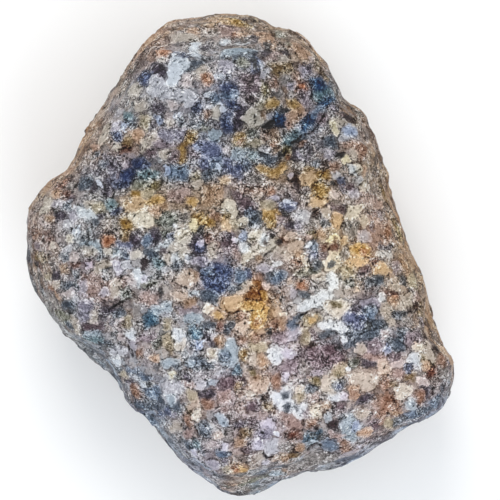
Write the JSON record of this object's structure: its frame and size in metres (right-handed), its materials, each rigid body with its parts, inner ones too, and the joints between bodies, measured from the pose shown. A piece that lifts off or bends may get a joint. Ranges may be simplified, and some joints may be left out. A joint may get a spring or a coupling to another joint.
{
  "type": "granite cobble",
  "caption": "Loose, angular-rounded cobble of coarse speckled granite with a narrower raised lobe at one end, lying on its back on a small flat spot.",
  "frame": {"origin": "middle of the bounding box at floor level, under the stone", "axes": "+Y along the stone's length, from the pointed end to the narrower lobe, +X across its width, +Z out of the broad face"},
  "size_m": [0.133, 0.15, 0.072],
  "materials": {
    "granite": "rough natural broken and weathered surface"
  },
  "bodies": {
    "root": {"granite_cobble": "granite"}
  },
  "joints": []
}
